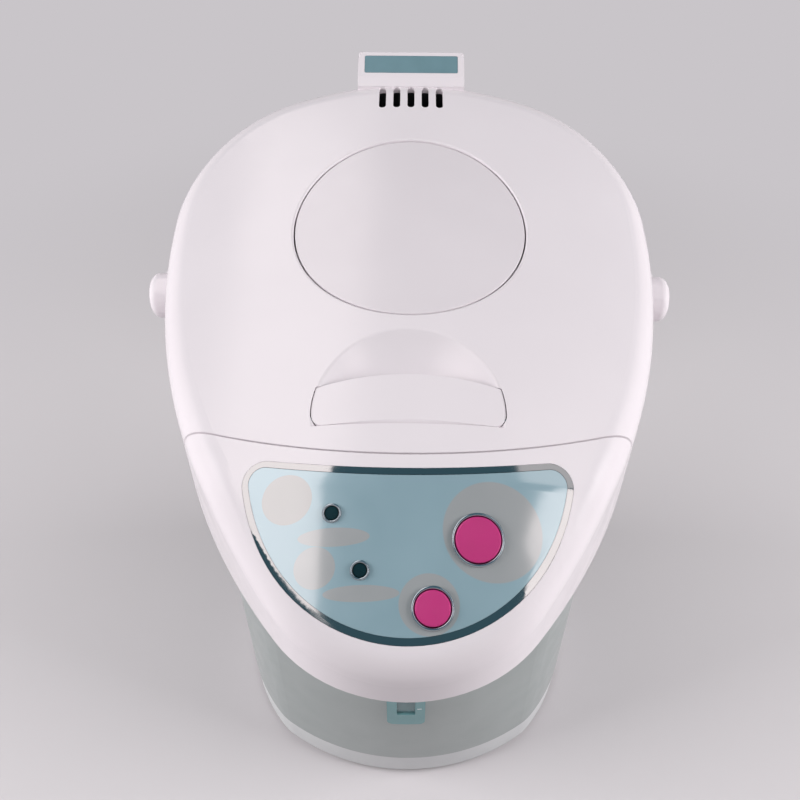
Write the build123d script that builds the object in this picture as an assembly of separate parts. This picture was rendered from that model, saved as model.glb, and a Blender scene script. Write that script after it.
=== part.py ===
from build123d import *
import math
import os
from functools import cache

# Electric thermo pot. Millimetres, +Z up, front towards -Y.
# The origin is on the pot's axis, at the surface that it stands on.

# ---- driving dimensions: walls and gaps ----
wall = 2.5                # moulded shells
shell_t = 1.2             # painted steel body
steel_t = 0.8             # tank and inner lid
parting_gap = 0.6         # line between the lid and the housing
fit_gap = 0.2             # a piece that drops into another
run_gap = 0.5             # a piece that moves past another
shaft_gap = 0.05          # radial, pin in bore
hose_t = 1.2              # silicone hose wall

# ---- stand ----
foot_h = 1.5
foot_r = 72.0
foot_w = 12.0
turntable_r = 80.0
turntable_t = 5.0
turntable_edge = 5.0      # rim outside the groove
turntable_round = 1.5
groove_depth = 2.0        # ring-shaped recess around the foot
hub_r = 14.0
glide_t = 1.5
glide_r = 70.0
glide_w = 10.0
retainer_r = 19.0
retainer_t = 1.5
retainer_lift = 0.3       # end play of the swivel
pivot_screw_r = 2.5
pivot_head_h = 2.5

# ---- base ----
base_clear = 3.0          # shadow gap between the base ring and the table
base_ring_top = 20.0
base_ring_inset = 0.4     # behind the painted shell
base_cover_t = 2.7
bay_h = 55.3              # machine bay, from the base cover to the tank floor
base_ring_lip = 4.0       # shelf under the painted shell
base_ring_lip_t = 2.0
base_ring_round = 1.2
base_post_r = 5.0
base_post_ring_r = 80.0

# ---- tank and riser ----
tank_r = 73.0
tank_flange_w = 4.5
heater_r = 48.0
heater_t = 8.0
band_z = 9.0              # keep-warm band above the tank floor
band_h = 30.0
band_t = 2.0
rod_r = 3.0
rod_ring_r = 38.0
rod_angles = (15, 165, 285)
riser_r = 4.0
riser_wall = 1.0
riser_tank_gap = 2.5
riser_shell_gap = 2.3

# ---- body ----
body_r = 94.0
body_front_r = 116.0      # the flatter front
body_corner_r = 30.0
body_h = 204.0            # from the base ring to the collar's lower edge
shell_lap = 4.0           # the shell's end inside the collar

# ---- head ----
collar_overhang = 8.0     # at the back
collar_h = 34.0
head_half = 101.3         # half of the widest place
back_r = 209.0            # nearly flat back
shoulder_r = 66.0         # rear corners
flank_r = 254.0
beak_reach = 155.0
beak_tip_r = 57.0
crown_h = 39.0            # dome over the seam, on the pot's axis
crown_rise = 13.0         # degrees, rearwards
dome_r = 297.0
slope_angle = 30.0        # panel slope
slope_start = 4.0         # in front of the parting line
slope_blend_r = 40.0
head_edge_r = 14.0
parting_y = 95.0
parting_r = 180.0
deck_t = 3.0
skirt_t = 2.2

# ---- control panel ----
panel_r = 55.2
panel_rim = 7.1           # white rim in front of the panel
panel_top_gap = 4.7
panel_top_r = 240.0
panel_corner_r = 7.0
panel_t = 0.8
trim_w = 2.2
pump_button_at = (22.4, -119.3)
pump_button_r = 7.7
reheat_button_at = (8.0, -138.0)
reheat_button_r = 6.0
bezel_w = 0.9
bezel_h = 0.7
button_proud = 0.9
button_travel = 0.8
lens_spots = [(-24.2, -112.2), (-14.8, -128.0)]
lens_r = 2.4
lens_bezel_w = 0.75
stem_r = 2.0
cap_skirt = 3.2           # the cap's depth below the panel
board_depth = 12.0        # below the panel
board_size = (74.0, 34.0)
board_edge = 4.0          # screw to the board's edge
board_t = 1.6
board_y = -120.0
switch_size = (6.0, 6.0, 3.5)
switch_pin_r = 1.6
switch_pin_h = 1.5

# ---- lid ----
plate_r = 45.7
plate_y = 8.0
plate_sunk = 0.5
plate_t = 2.0
plate_edge_r = 0.5
bore_edge_r = 0.8
press_stroke = 15.0
well_t = 2.0
well_drop = 26.0          # well's lower edge under the crown
recess_r = 33.4           # outline of the paddle's opening
recess_y = -77.3
dish_rim_r = 35.5         # dish, flush with the opening at the back
dish_depth = 12.0
dish_edge_r = 1.5
barrel_room = 8.0         # depth of the opening round the barrel
barrel_room_y = -72.0
paddle_gap = 0.3
paddle_front_y = -83.4
paddle_back_y = -64.0
paddle_back_r = 115.0
paddle_corner_r = 5.0     # front corners
paddle_t = 2.4
paddle_sunk = 0.3
barrel_r = 3.2
latch_pin_r = 1.2
latch_angle = 25.0
nose_w = 18.0
nose_t = 3.0
nose_drop = 4.5           # nose under the pin axis
catch_t = 1.2
catch_margin = 4.0        # each side of the nose
plug_r = 70.0
plug_h = 13.6
gasket_t = 1.5
gasket_h = 5.0
slot_count = 5
slot_w = 3.1
slot_pitch = 6.3
slot_y0 = 75.0
slot_y1 = 90.0
duct_t = 1.6
tab_w = 48.0
tab_y0 = 90.0
tab_y1 = 107.0
tab_h = 9.5
tab_round = 2.5
plaque_w = 42.0
plaque_h = 9.0
plaque_t = 0.6
bellows_r = 34.0
bellows_h = 21.0
bellows_folds = 5
bellows_wall = 1.2
spring_r = 11.0
spring_wire_r = 0.7
spring_turns = 6
screw_spots = [(74.0, 30.0), (62.0, -50.0)]
screw_r = 1.5
screw_head_r = 3.0
screw_head_h = 1.4
screw_post_r = 4.0

# ---- hinge ----
hinge_r = 6.0
hinge_pin_r = 2.0
hinge_half = 19.5         # lid knuckle
hinge_ear = 14.0          # collar knuckle

# ---- handle ----
pivot_y = 23.0
pivot_drop = 8.5          # under the seam
ear_r = 10.0
ear_x = 114.8             # outer face
ear_t = 11.6
ear_inset = 1.5           # arm behind the ear's face
ear_round = 4.0
pivot_boss_r = 6.0
pivot_pin_r = 3.5
handle_reach = 127.0
handle_w = 10.0
handle_t = 10.0
handle_corner_r = 55.0
handle_stow = 10.0        # degrees under level

# ---- water gauge ----
gauge_w = 19.0
gauge_border = 5.0
gauge_foot = 10.5
gauge_proud = 1.5
gauge_corner_r = 3.0
gauge_z0 = 64.0
gauge_z1 = 212.0

# ---- pump ----
pump_y = -60.0
pump_r = 19.0
pump_h = 12.0
pump_z = 34.0
pump_wall = 2.0
port_r = 6.0
impeller_r = 14.0
impeller_h = 5.0
blade_count = 6
blade_t = 1.4
motor_r = 14.0
motor_mount_h = 2.0
pump_shaft_r = 1.5
stub_y = -74.5

# ---- spout ----
spout_y = -118.0
spout_pipe_r = 5.6
spout_rise = 14.0         # pipe's level run above the collar's lower edge
spout_bend_r = 8.0
nozzle_r = 10.0
nozzle_drop = 14.0
cover_t = 2.5

# ---- mains inlet ----
inlet_w = 30.0
inlet_h = 23.0
inlet_z = 40.0
inlet_depth = 27.0
inlet_lip = 3.0
cavity_w = 23.0
cavity_h = 16.0
cavity_depth = 15.0
pin_size = (2.0, 4.0)
pin_len = 11.0
pin_pitch = 7.0
pin_rise = 1.5

# ---- power board ----
power_size = (70.0, 40.0)
power_y = 38.0
power_z = 22.0

# ---- worked out from the driving dimensions ----
turntable_top = foot_h + turntable_t
cover_z = turntable_top + glide_t
cover_top = cover_z + base_cover_t
tank_z = cover_top + bay_h
riser_y = -(tank_r + riser_tank_gap + riser_r)
body_front = -riser_y + riser_r + riser_shell_gap + shell_t
collar_z = base_ring_top + body_h
shell_top = collar_z + shell_lap
seam_z = collar_z + collar_h
crown_z = seam_z + crown_h
dome_z = crown_z - dome_r
head_back = body_r + collar_overhang
tip_y = -(beak_reach - beak_tip_r)
flank_y = tip_y + math.sqrt((flank_r - beak_tip_r) ** 2 - (flank_r - head_half) ** 2)
slope_y = -(parting_y + slope_start)
deck_z = seam_z - deck_t
lid_z = seam_z + parting_gap
liner_top = lid_z + wall
plug_z = lid_z - plug_h
rise = math.tan(math.radians(crown_rise))
fall = math.tan(math.radians(slope_angle))
slope_z = crown_z + rise * slope_y
hinge_y = head_back + hinge_r + parting_gap
hinge_z = seam_z - 1.0
pivot_z = seam_z - pivot_drop
hub_top = cover_top + retainer_lift
dish_y = recess_y + recess_r - dish_rim_r
dish_z = crown_z + rise * dish_y
dish_r = (dish_rim_r**2 + dish_depth**2) / (2 * dish_depth)
barrel_y = paddle_front_y + barrel_r
barrel_z = crown_z + rise * barrel_y - barrel_r - paddle_sunk
nose_low = barrel_z - nose_drop - nose_t
latch_dip = (parting_y + barrel_y) * math.sin(math.radians(latch_angle))
gate_z = nose_low - latch_dip - run_gap
far = 400.0               # beyond the whole part


# ---- small makers ----
def slab(plan, z0, z1):
    return Pos(0, 0, z0) * extrude(plan, z1 - z0)


def disc(r, z0, z1, x=0.0, y=0.0):
    return slab(Pos(x, y) * Circle(r), z0, z1)


def ring(r_out, r_in, z0, z1, x=0.0, y=0.0):
    return slab(Pos(x, y) * (Circle(r_out) - Circle(r_in)), z0, z1)


def block(x0, x1, y0, y1, z0, z1):
    return Pos((x0 + x1) / 2, (y0 + y1) / 2, (z0 + z1) / 2) * Box(x1 - x0, y1 - y0, z1 - z0)


def rod_x(r, x0, x1, y, z):
    return Pos((x0 + x1) / 2, y, z) * Rot(0, 90, 0) * Cylinder(r, x1 - x0)


def side_form(points, x0, x1):
    """A side view, as (y, z) points, pulled along X."""
    face = Plane.YZ * make_face(Polyline(*points, close=True))
    return Pos(x0, 0, 0) * extrude(face, x1 - x0, dir=(1, 0, 0))


def around(r, angles):
    return [(r * math.cos(math.radians(a)), r * math.sin(math.radians(a))) for a in angles]


def four_corners(size, edge, y=0.0):
    w, d = size[0] / 2 - edge, size[1] / 2 - edge
    return [(sx * w, y + sy * d) for sx in (-1, 1) for sy in (-1, 1)]


def both_sides(shape):
    return shape + mirror(shape, Plane.YZ)


def pipe(points, bend_r, r_out, r_in):
    path = FilletPolyline(*points, radius=bend_r)
    start = Plane(path @ 0, z_dir=path % 0)
    outer = sweep(start * Circle(r_out), path=path)
    inner = sweep(start * Circle(r_in), path=path)
    return outer - inner


# ---- plans and the head's outer form ----
def three_radius_plan(rear_r, front_r, front_y, blend_r, inset):
    """Rear circle on the axis and a front circle, joined by an arc of blend_r each side."""
    near, away = abs(blend_r - rear_r), abs(blend_r - front_r)
    y = (front_y**2 + near**2 - away**2) / (2 * front_y)
    x = math.sqrt(near**2 - y**2)
    side = 1 if blend_r < rear_r else -1
    rear_turn = math.degrees(math.atan2(side * y, x))
    front_turn = math.degrees(math.atan2(side * (y - front_y), x))
    blend_turn = rear_turn - front_turn
    rear = CenterArc((0, 0), rear_r - inset, rear_turn, 180 - 2 * rear_turn)
    right = CenterArc((side * x, y), blend_r - inset, front_turn, blend_turn)
    left = CenterArc((-side * x, y), blend_r - inset, 180 - rear_turn, blend_turn)
    front = CenterArc((0, front_y), front_r - inset, 180 - front_turn, 180 + 2 * front_turn)
    return make_face([rear, right, left, front])


@cache
def body_plan(inset=0.0):
    return three_radius_plan(body_r, body_front_r, body_front_r - body_front, body_corner_r, inset)


def crossing(c0, r0, c1, r1):
    """Where two circles cross, on the side with the greater X."""
    step = Vector(c1) - Vector(c0)
    along = (r0**2 - r1**2 + step.length**2) / (2 * step.length)
    aside = math.sqrt(r0**2 - along**2)
    way = step.normalized()
    ends = [Vector(c0) + way * along + Vector(-way.Y, way.X) * side for side in (aside, -aside)]
    return max(ends, key=lambda p: p.X)


def heading(start, end):
    return math.degrees(math.atan2(end[1] - start[1], end[0] - start[0]))


@cache
def egg_plan(inset=0.0):
    """Flat back, two shoulders, two flanks and the beak's tip, all tangent."""
    back, flank, tip = (0, head_back - back_r), (head_half - flank_r, flank_y), (0, tip_y)
    corner = crossing(back, back_r - shoulder_r, flank, flank_r - shoulder_r)
    corner = (corner.X, corner.Y)
    a, b, c = heading(back, corner), heading(flank, corner), heading(flank, tip)
    arcs = [CenterArc(back, back_r - inset, a, 180 - 2 * a)]
    for side in (1, -1):
        for centre, r, start, end in ((corner, shoulder_r, b, a), (flank, flank_r, c, b)):
            low = start if side == 1 else 180 - end
            arcs.append(CenterArc((side * centre[0], centre[1]), r - inset, low, end - start))
    arcs.append(CenterArc(tip, beak_tip_r - inset, 180 - c, 180 + 2 * c))
    return make_face(arcs)


def crown_at(y, inset=0.0):
    return crown_z + rise * y - inset / math.cos(math.radians(crown_rise))


def slope_at(y, inset=0.0):
    return slope_z + fall * (y - slope_y) - inset / math.cos(math.radians(slope_angle))


@cache
def head_form(inset=0.0):
    """Solid of the whole head, its skin moved in by inset."""
    column = slab(egg_plan(inset), collar_z - inset, crown_z + far)
    crease_y = slope_y + (crown_at(slope_y, inset) - slope_at(slope_y, inset)) / (fall - rise)
    y0, y1 = -(beak_reach + 20), head_back + 20
    crease = (crease_y, crown_at(crease_y, inset) - dome_z)
    profile = make_face(
        Polyline(
            (y0, 0),
            (y0, slope_at(y0, inset) - dome_z),
            crease,
            (y1, crown_at(y1, inset) - dome_z),
            (y1, 0),
            close=True,
        )
    )
    corner = profile.vertices().sort_by_distance((*crease, 0))[0]
    profile = fillet(corner, slope_blend_r - inset)
    dome = Pos(0, 0, dome_z) * Rot(0, 180, 0) * revolve(Plane.YZ * profile, Axis.Y)
    form = column & dome
    tops = [f for f in form.faces() if f.normal_at().Z > 0.5]
    rim = [e for f in tops for e in f.edges() if e.bounding_box().size.Y > 0.5]
    return fillet(rim, head_edge_r - inset)


def lid_zone(grow, z0):
    """Everything behind the parting line, from z0 up."""
    return disc(parting_r + grow, z0, far, y=parting_r - parting_y)


def on_slope(x, y):
    """Plane that lies on the panel's surface at x, y."""
    p = slope_at(y) - dome_z
    up = math.sqrt(p**2 - x**2)
    normal = Vector(x, -p * fall, up).normalized()
    across = (Vector(1, 0, 0) - normal * normal.X).normalized()
    return Plane((x, y, dome_z + up), x_dir=across, z_dir=normal)


def plug_on(plane, r, z0, z1):
    return plane * (Pos(0, 0, (z0 + z1) / 2) * Cylinder(r, z1 - z0))


def panel_plan(inset=0.0):
    centre_y = -(beak_reach - panel_rim - panel_r)
    top_y = -(parting_y + panel_top_gap)
    lobe = Pos(0, centre_y) * Circle(panel_r - inset)
    plan = lobe - Pos(0, top_y + panel_top_r) * Circle(panel_top_r + inset)
    corners = plan.vertices().sort_by(Axis.Y)[-2:]
    return fillet(corners, panel_corner_r - inset)


pump_plane = on_slope(*pump_button_at)
reheat_plane = on_slope(*reheat_button_at)
lens_planes = [on_slope(*spot) for spot in lens_spots]
buttons = [(pump_plane, pump_button_r), (reheat_plane, reheat_button_r)]
board_top = on_slope(0, board_y).offset(-board_depth)
board_posts = four_corners(board_size, board_edge)


# ---- stand ----
def turntable():
    plate = disc(turntable_r, foot_h, turntable_top)
    plate = fillet(plate.edges().filter_by(GeomType.CIRCLE).sort_by(Axis.Z)[-1:], turntable_round)
    groove = ring(turntable_r - turntable_edge, foot_r + 2, foot_h, foot_h + groove_depth)
    hub = disc(hub_r, turntable_top, hub_top)
    return plate - groove + hub - disc(pivot_screw_r + shaft_gap, foot_h, far)


def foot_ring():
    return ring(foot_r, foot_r - foot_w, 0, foot_h)


def glide_ring():
    return ring(glide_r, glide_r - glide_w, turntable_top, cover_z)


def pivot_retainer():
    return ring(retainer_r, pivot_screw_r + shaft_gap, hub_top, hub_top + retainer_t)


def pivot_screw():
    z = hub_top + retainer_t
    head = disc(2 * pivot_screw_r, z, z + pivot_head_h)
    return head + disc(pivot_screw_r, foot_h + groove_depth, z)


# ---- base ----
def base_posts():
    return around(base_post_ring_r, (45, 135, 225, 315))


def base_ring():
    outer = slab(body_plan(base_ring_inset), base_clear, base_ring_top)
    edge = outer.edges().group_by(Axis.Z)[0]
    outer = fillet(edge, base_ring_round)
    inner = slab(body_plan(base_ring_inset + wall), 0, base_ring_top - base_ring_lip_t)
    mouth = slab(body_plan(base_ring_inset + wall + base_ring_lip), 0, far)
    form = outer - inner - mouth
    reach = slab(body_plan(base_ring_inset + wall / 2), cover_top, base_ring_top)
    for x, y in base_posts():
        arm = Pos(x * 1.06, y * 1.06) * Circle(base_post_r + 1)
        form += slab(Pos(x, y) * Circle(base_post_r) + arm, cover_top, base_ring_top) & reach
        form -= disc(screw_r + shaft_gap, 0, base_ring_top - 1, x, y)
    return form


def base_cover():
    plate = slab(body_plan(base_ring_inset + wall + fit_gap), cover_z, cover_top)
    plate -= disc(hub_r + shaft_gap, 0, far)
    for x, y in base_posts():
        plate -= disc(screw_r + fit_gap, 0, far, x, y)
        plate -= disc(screw_head_r + fit_gap, cover_z, cover_z + screw_head_h + 0.1, x, y)
    for x, y in power_posts():
        plate += ring(3, screw_r + shaft_gap, cover_top, power_z, x, y)
    return plate


def base_screws():
    screws = []
    for x, y in base_posts():
        head = disc(screw_head_r, cover_z + 0.1, cover_z + 0.1 + screw_head_h, x, y)
        screws.append(head + disc(screw_r, cover_z + 0.1 + screw_head_h, base_ring_top - 2, x, y))
    return Compound(children=screws)


# ---- body ----
def inlet_hole():
    w, h = inlet_w / 2 + fit_gap, inlet_h / 2 + fit_gap
    return block(-w, w, 0, far, inlet_z - h, inlet_z + h)


def gauge_slot(grow):
    w = gauge_w / 2 - gauge_border + grow
    return block(-w, w, -far, 0, gauge_z0 + gauge_foot - grow, gauge_z1 - gauge_border + grow)


def outer_shell():
    form = slab(body_plan() - body_plan(shell_t), base_ring_top, shell_top)
    return form - gauge_slot(1.0) - inlet_hole()


def gauge_frame():
    h = gauge_z1 - gauge_z0
    band = slab(body_plan(-gauge_proud) - body_plan(), gauge_z0, gauge_z1)
    outline = Plane.XZ * (Pos(0, gauge_z0 + h / 2) * RectangleRounded(gauge_w, h, gauge_corner_r))
    frame = band & extrude(outline, far)
    rear = slab(body_plan() - body_plan(shell_t), gauge_z0, gauge_z1)
    lip = rear & (gauge_slot(1.0 - fit_gap / 2))
    return frame + lip - gauge_slot(0)


def gauge_window():
    band = slab(body_plan(-0.4) - body_plan(shell_t), 0, far)
    return band & gauge_slot(-fit_gap / 2)


# ---- head: housing with collar, beak and panel slope ----
def hinge_ears(x0, x1, z_low):
    """One knuckle and the web that joins it to the wall."""
    web = block(x0, x1, head_back - 10, hinge_y, z_low, z_low + 4.5)
    return rod_x(hinge_r, x0, x1, hinge_y, hinge_z) + web


def front_housing():
    skin = head_form() - head_form(wall)
    half_gap = parting_gap / 2
    form = skin - lid_zone(half_gap, seam_z)
    deck = slab(egg_plan(wall / 2), deck_z, seam_z) & lid_zone(half_gap + wall, 0)
    partition = lid_zone(half_gap + wall, deck_z) - lid_zone(half_gap, 0)
    form += deck + (partition & head_form(wall / 2))
    skirt = slab(body_plan() - body_plan(skirt_t), shell_top, deck_z)
    form += skirt
    neck = spout_pipe_r + 2
    passage = block(-neck, neck, -far, riser_y + spout_pipe_r, 0, deck_z - 1)
    form -= passage & slab(body_plan(-1), 0, far)
    form -= disc(tank_r + fit_gap, 0, far)
    flange = disc(tank_r + tank_flange_w + fit_gap, seam_z - 1.5, far)
    form -= flange & lid_zone(-5, 0)
    form -= slab(panel_plan(), 0, far) - head_form(panel_t)
    for plane, r in buttons:
        form -= plug_on(plane, r + fit_gap * 2, -3 * wall, wall)
    for plane in lens_planes:
        form -= plug_on(plane, lens_r + fit_gap * 2, -3 * wall, wall)
    under = head_form(wall * 0.6)
    for x, y in board_posts:
        post = board_top * (Pos(x, y, far / 20) * Cylinder(3, far / 10))
        bore = board_top * (Pos(x, y, 3) * Cylinder(screw_r + shaft_gap, 6))
        form += post & under
        form -= bore
    for x, y in beak_posts():
        form += disc(screw_post_r, collar_z + 1 + cover_t, far, x, y) & under
        form -= disc(screw_r + shaft_gap, 0, collar_z + 16, x, y)
    w = nose_w / 2 + run_gap
    form -= block(-w, w, -parting_y - 2 * wall, -parting_y, gate_z, barrel_z - nose_drop + run_gap)
    ear = hinge_ears(hinge_half + run_gap, hinge_half + run_gap + hinge_ear, hinge_z - hinge_r)
    outside = slab(egg_plan(wall / 2), 0, far)
    form += both_sides(ear - outside)
    form -= rod_x(hinge_pin_r + shaft_gap, -far, far, hinge_y, hinge_z)
    boss = rod_x(pivot_boss_r, head_half - 2 * wall - 1, ear_x - ear_t - 0.3, pivot_y, pivot_z)
    form += both_sides(boss)
    form -= both_sides(rod_x(pivot_pin_r + shaft_gap, head_half - 20, far, pivot_y, pivot_z))
    return form


def beak_posts():
    return [(-47.0, -106.0), (47.0, -106.0)]


def beak_cover():
    z = collar_z + 1
    plate = slab(egg_plan(wall + fit_gap) - body_plan(-fit_gap), z, z + cover_t)
    plate -= disc(nozzle_r + fit_gap, 0, far, y=spout_y)
    for x, y in beak_posts():
        plate -= disc(screw_r + fit_gap, 0, far, x, y)
    return plate


def beak_screws():
    screws = []
    for x, y in beak_posts():
        z = collar_z + 1
        screws.append(disc(screw_head_r, z - screw_head_h, z, x, y) + disc(screw_r, z, z + 12, x, y))
    return Compound(children=screws)


def latch_catch():
    w = nose_w / 2 + catch_margin
    face = parting_gap / 2 + wall
    front = lid_zone(face + catch_t, 0) - lid_zone(face, 0)
    return front & block(-w, w, -far, 0, gate_z - 1, barrel_z - nose_drop)


def hinge_pin():
    reach = hinge_half + run_gap + hinge_ear
    pin = rod_x(hinge_pin_r, -reach, reach, hinge_y, hinge_z)
    return pin + both_sides(rod_x(hinge_pin_r + 1, reach, reach + 1, hinge_y, hinge_z))


def handle_pins():
    inner = head_half - 2 * wall - 1.5
    pin = rod_x(pivot_pin_r, inner, ear_x - 5.5, pivot_y, pivot_z)
    head = rod_x(pivot_pin_r + 1.8, inner - 2, inner, pivot_y, pivot_z)
    right = pin + head
    return Compound(children=[right, mirror(right, Plane.YZ)])


# ---- control panel ----
def panel_plate():
    skin = head_form(fit_gap / 4) - head_form(panel_t - fit_gap / 4)
    form = skin & slab(panel_plan(trim_w), 0, far)
    for plane, r in buttons:
        form -= plug_on(plane, r + fit_gap * 2, -3, 3)
    for plane in lens_planes:
        form -= plug_on(plane, lens_r + fit_gap * 2, -3, 3)
    return form


def panel_trim():
    skin = head_form() - head_form(panel_t - fit_gap / 4)
    return skin & slab(panel_plan(fit_gap / 2) - panel_plan(trim_w - fit_gap / 2), 0, far)


def bezel(plane, r, w, h, depth):
    flange = plug_on(plane, r + w, 0.15, h)
    sleeve = plug_on(plane, r + fit_gap, -depth, 0.15)
    return flange + sleeve - plug_on(plane, r - fit_gap, -far / 10, far / 10)


def button_bezels():
    return Compound(children=[bezel(p, r, bezel_w, bezel_h, wall + 1) for p, r in buttons])


def indicator_bezels():
    return Compound(children=[bezel(p, lens_r, lens_bezel_w, 0.6, wall + 1) for p in lens_planes])


def indicator_lenses():
    return Compound(children=[plug_on(p, lens_r - fit_gap * 1.5, -wall - 1, 0.35) for p in lens_planes])


def button(plane, r):
    """A domed cap on a stem that ends just over its switch."""
    cap_r = r - fit_gap * 2
    cap = plug_on(plane, cap_r, -cap_skirt, button_proud)
    rim = cap.edges().filter_by(GeomType.CIRCLE).sort_by_distance(plane.offset(button_proud).origin)[:1]
    cap = fillet(rim, 0.5)
    stem_end = -switch_distance(plane) + button_travel + 0.2
    return cap + plug_on(plane, stem_r, stem_end, -cap_skirt)


def switch_spot(plane):
    """Where the button's axis meets the board, in the board's own plane."""
    away = board_top.to_local_coords(plane.origin)
    axis = board_top.to_local_coords(plane.origin + plane.z_dir) - away
    return away - axis * (away.Z / axis.Z)


def switch_distance(plane):
    top = switch_size[2] + switch_pin_h
    away = board_top.to_local_coords(plane.origin)
    axis = board_top.to_local_coords(plane.origin + plane.z_dir) - away
    return (away.Z - top) / axis.Z


def tact_switches():
    switches = []
    for plane, _ in buttons:
        at = switch_spot(plane)
        w, d, h = switch_size
        case = Pos(at.X, at.Y, h / 2) * Box(w, d, h)
        pin = Pos(at.X, at.Y, h + switch_pin_h / 2) * Cylinder(switch_pin_r, switch_pin_h)
        switches.append(board_top * (case + pin))
    return Compound(children=switches)


def control_board():
    w, d = board_size
    board = Pos(0, 0, -board_t / 2) * Box(w, d, board_t)
    for x, y in board_posts:
        board -= Pos(x, y, 0) * Cylinder(screw_r + fit_gap, 4 * board_t)
    return board_top * board


def board_screws():
    screws = []
    for x, y in board_posts:
        head = Pos(x, y, -board_t - screw_head_h / 2) * Cylinder(screw_head_r, screw_head_h)
        shank = Pos(x, y, (5 - board_t) / 2) * Cylinder(screw_r, 5 + board_t)
        screws.append(board_top * (head + shank))
    return Compound(children=screws)


# ---- tank, heater and tie rods ----
def tank():
    cup = disc(tank_r, tank_z, seam_z - 0.7) - disc(tank_r - steel_t, tank_z + steel_t, far)
    flange = ring(tank_r + tank_flange_w, tank_r - steel_t, seam_z - 1.5, seam_z - 0.7)
    outlet = disc(port_r, tank_z - heater_t, tank_z, y=pump_y)
    return cup + flange + outlet - disc(port_r - 1, 0, tank_z + 2 * steel_t, y=pump_y)


def heater_plate():
    return disc(heater_r, tank_z - heater_t, tank_z)


def keep_warm_band():
    z = tank_z + band_z
    band = ring(tank_r + band_t, tank_r + shaft_gap, z, z + band_h)
    return band - block(-12, 12, -far, 0, 0, far)


def thermostats():
    z = tank_z - heater_t
    cans = [disc(8, z - 9, z, x=sx * 16, y=14) for sx in (-1, 1)]
    return Compound(children=cans)


def tie_rods():
    z1 = tank_z - heater_t
    return Compound(children=[disc(rod_r, cover_top, z1, x, y) for x, y in around(rod_ring_r, rod_angles)])


# ---- pump ----
def pump_housing():
    top = pump_z + pump_h
    case = disc(pump_r, pump_z, top, y=pump_y)
    case -= disc(pump_r - pump_wall, pump_z + pump_wall, top - pump_wall, y=pump_y)
    case += ring(port_r, port_r - 1, top, top + 8, y=pump_y)
    case += ring(riser_r, riser_r - riser_wall, top, top + 7, y=stub_y)
    case -= disc(port_r - 1, pump_z + pump_wall, top + 8, y=pump_y)
    case -= disc(riser_r - riser_wall, top - pump_wall, top + 7, y=stub_y)
    return case - disc(pump_shaft_r + shaft_gap, 0, pump_z + 2 * pump_wall, y=pump_y)


def pump_motor():
    z = cover_top + motor_mount_h
    case = fillet(disc(motor_r, z, pump_z, y=pump_y).edges().group_by(Axis.Z)[0], 2)
    return case - disc(pump_shaft_r + shaft_gap, z + 4, far, y=pump_y)


def motor_mount():
    return disc(motor_r + 1.5, cover_top, cover_top + motor_mount_h, y=pump_y)


def impeller_shaft():
    return disc(pump_shaft_r, cover_top + motor_mount_h + 5, pump_z + pump_h / 2 + impeller_h / 2, y=pump_y)


def impeller():
    z = pump_z + pump_h / 2 - impeller_h / 2
    wheel = disc(impeller_r, z, z + 1.2, y=pump_y) + disc(4, z, z + impeller_h, y=pump_y)
    blade = block(3, impeller_r - 0.5, -blade_t / 2, blade_t / 2, z + 1.2, z + impeller_h)
    for i in range(blade_count):
        wheel += Pos(0, pump_y, 0) * Rot(0, 0, i * 360 / blade_count) * blade
    return wheel - disc(pump_shaft_r + 0.01, 0, far, y=pump_y)


def outlet_hose():
    r = port_r + shaft_gap
    return ring(r + hose_t, r, pump_z + pump_h + 2, tank_z - 1, y=pump_y)


def riser_hose():
    z = pump_z + pump_h
    r = riser_r + shaft_gap
    points = [(0, stub_y, z + 1), (0, stub_y, z + 8), (0, riser_y, z + 18), (0, riser_y, z + 26)]
    return pipe(points, 6, r + hose_t, r)


def riser_tube():
    return ring(riser_r, riser_r - riser_wall, pump_z + pump_h + 19, collar_z + 3, y=riser_y)


# ---- spout ----
def spout_elbow():
    z = collar_z + spout_rise
    points = [(0, riser_y, collar_z - 6), (0, riser_y, z), (0, spout_y, z), (0, spout_y, collar_z)]
    return pipe(points, spout_bend_r, spout_pipe_r, riser_r + shaft_gap)


def spout_nozzle():
    outer = disc(nozzle_r, collar_z - nozzle_drop, collar_z + 1 + cover_t, y=spout_y)
    flange = disc(nozzle_r + 3, collar_z + 1 + cover_t, collar_z + 3 + cover_t, y=spout_y)
    outer = fillet(outer.edges().group_by(Axis.Z)[0], 1.5)
    return outer + flange - disc(spout_pipe_r + shaft_gap, 0, far, y=spout_y)


# ---- mains inlet and power board ----
def inlet_socket():
    w, h = inlet_w / 2, inlet_h / 2
    case = block(-w, w, body_r - inlet_depth + 2, body_r + 0.2, inlet_z - h, inlet_z + h)
    lip_w, lip_h = w + inlet_lip, h + inlet_lip
    lip = block(-lip_w, lip_w, body_r + 0.2, body_r + 2, inlet_z - lip_h, inlet_z + lip_h)
    lip = fillet(lip.edges().filter_by(Axis.Y), 3)
    y0 = body_r + 2 - cavity_depth
    hollow = block(-cavity_w / 2, cavity_w / 2, y0, far, inlet_z - cavity_h / 2, inlet_z + cavity_h / 2)
    form = case + lip - fillet(hollow.edges().filter_by(Axis.Y), 2)
    return form - inlet_pins()


def inlet_pins():
    w, h = pin_size[0] / 2, pin_size[1] / 2
    y0 = body_r + 2 - cavity_depth
    z = inlet_z + pin_rise
    bars = [block(x - w, x + w, y0 - 6, y0 + pin_len, z - h, z + h) for x in (-pin_pitch, 0, pin_pitch)]
    return Compound(children=bars)


def power_posts():
    return four_corners(power_size, board_edge, power_y)


def power_board():
    w, d = power_size
    board = block(-w / 2, w / 2, power_y - d / 2, power_y + d / 2, power_z, power_z + board_t)
    for x, y in power_posts():
        board -= disc(screw_r + fit_gap, 0, far, x, y)
    return board


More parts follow.
